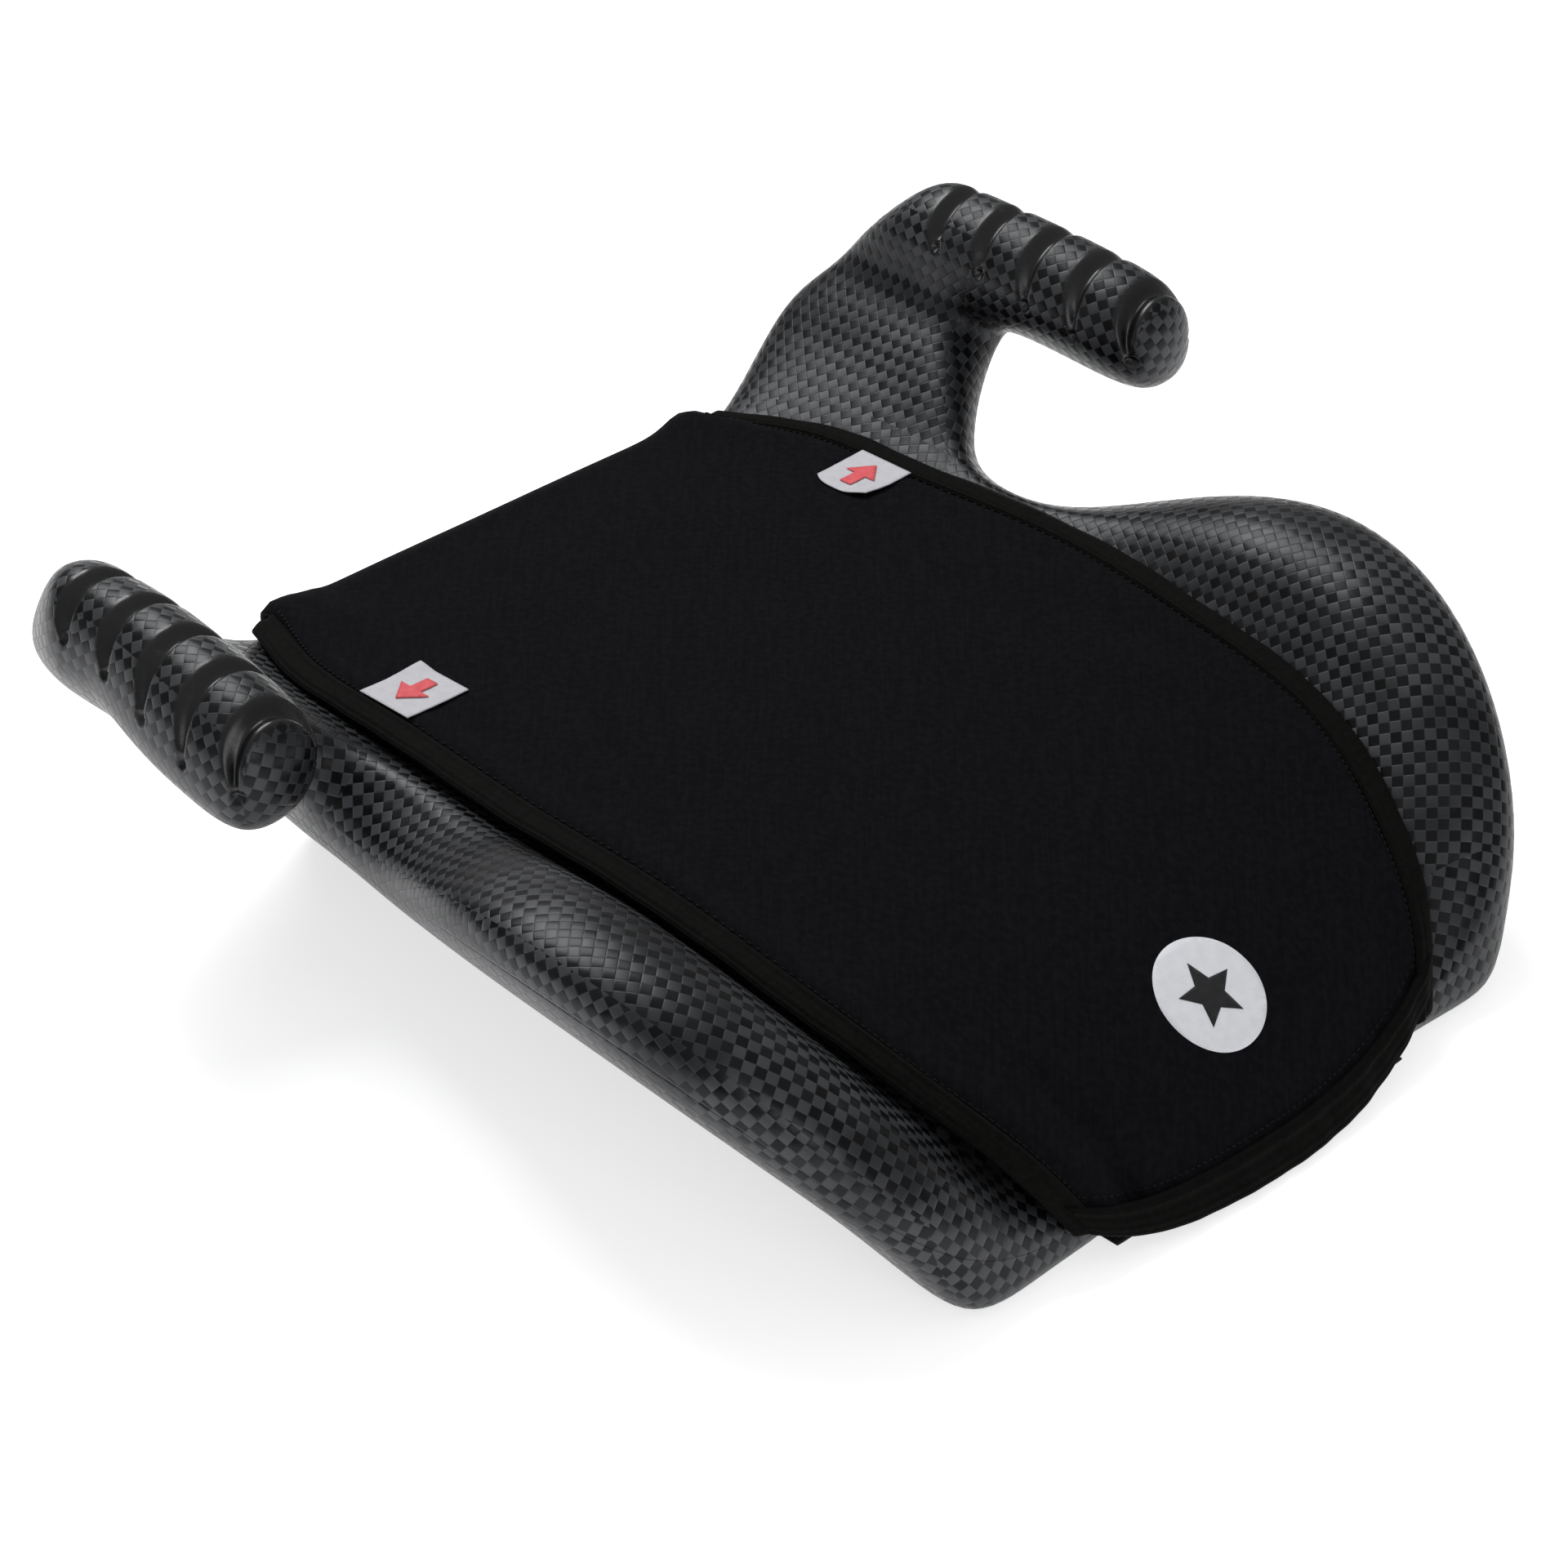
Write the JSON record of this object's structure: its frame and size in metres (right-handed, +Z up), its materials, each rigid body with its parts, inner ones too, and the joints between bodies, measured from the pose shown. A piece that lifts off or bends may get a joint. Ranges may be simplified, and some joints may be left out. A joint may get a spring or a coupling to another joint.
{
  "type": "backless booster seat",
  "caption": "Backless child booster seat: hollow black moulded shell with forward-reaching grooved arm horns and side wings, and a padded fabric cover with belt-path arrow labels.",
  "frame": {"origin": "on the floor under the middle of the seat's overall box", "axes": "+Z up, +Y to the rear of the seat, +X across the seat to the sitter's left"},
  "size_m": [0.4394, 0.3905, 0.1556],
  "materials": {
    "shell_plastic": "charcoal-black blow-moulded polyethylene with a woven checker texture and satin sheen",
    "cover_fabric": "near-black fine woven polyester, matt",
    "foam": "open-cell polyurethane foam sheet, off-white",
    "binding_tape": "black folded binding tape with a stitch line",
    "label_white": "white printed satin label",
    "arrow_red": "red printed arrow",
    "print_black": "black print",
    "elastic": "black knitted elastic webbing"
  },
  "bodies": {
    "root": {"seat_shell": "shell_plastic", "cover_lining": "cover_fabric", "foam_pad": "foam", "cover_seat_panel": "cover_fabric", "cover_binding_left": "binding_tape", "cover_binding_right": "binding_tape", "cover_binding_front": "binding_tape", "cover_rear_flap": "cover_fabric", "cover_rear_hem": "binding_tape", "belt_label_left": "label_white", "belt_arrow_left": "arrow_red", "belt_label_right": "label_white", "belt_arrow_right": "arrow_red", "badge_print": "label_white", "badge_star": "print_black", "elastic_strap_left": "elastic", "strap_slider_left": "shell_plastic", "elastic_strap_right": "elastic", "strap_slider_right": "shell_plastic", "approval_label": "label_white", "care_label": "label_white"}
  },
  "joints": []
}
